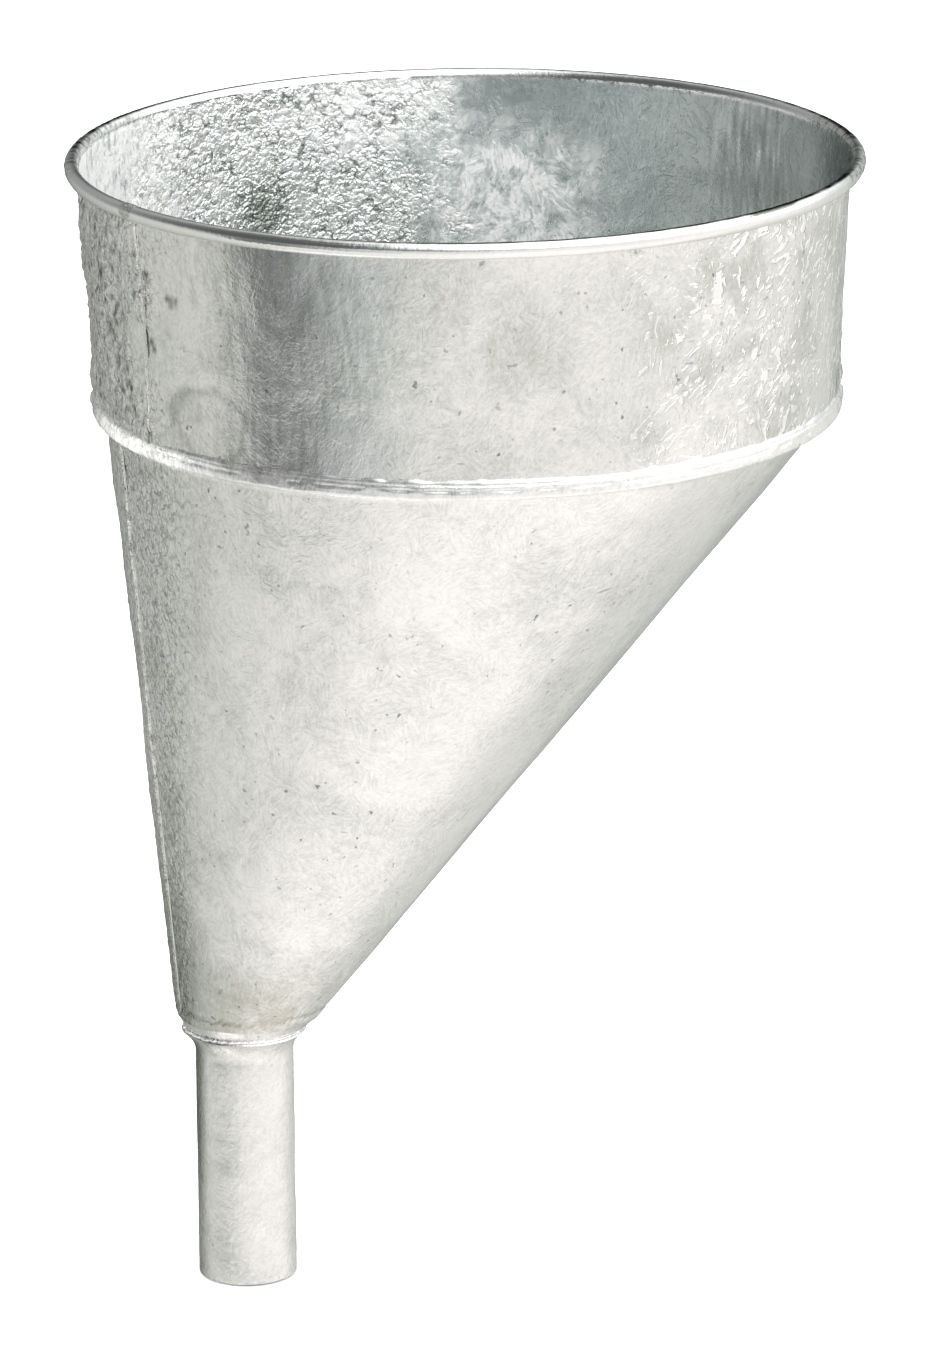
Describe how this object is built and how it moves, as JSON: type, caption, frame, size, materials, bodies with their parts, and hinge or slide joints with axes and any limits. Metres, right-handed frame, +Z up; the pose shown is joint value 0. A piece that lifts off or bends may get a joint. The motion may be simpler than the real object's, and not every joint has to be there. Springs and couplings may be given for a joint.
{
  "type": "eccentric funnel",
  "caption": "Eccentric filling funnel: wired rim and shallow band over an oblique cone whose outlet spout stands to one side of the mouth.",
  "frame": {"origin": "centre of the spout's lower end, on the spout's axis", "axes": "+Z up along the spout and parallel to the mouth's axis; +X from the spout's axis towards the mouth's axis; +Y completes the right-handed frame"},
  "size_m": [0.24, 0.24, 0.347],
  "materials": {
    "wire_steel": "plain drawn steel wire",
    "zinc_band": "hot-dip galvanised, mottled and lumpy",
    "zinc_cone": "hot-dip galvanised, mottled and bright",
    "zinc_spout": "hot-dip galvanised, mottled",
    "joint_zinc": "solidified zinc in the joints"
  },
  "bodies": {
    "root": {"rim_wire": "wire_steel", "band": "zinc_band", "cone": "zinc_cone", "spout": "zinc_spout", "rim_joint_zinc": "joint_zinc", "band_lap_zinc": "joint_zinc", "seam_zinc": "joint_zinc", "cone_lap_zinc": "joint_zinc", "neck_zinc": "joint_zinc"}
  },
  "joints": []
}
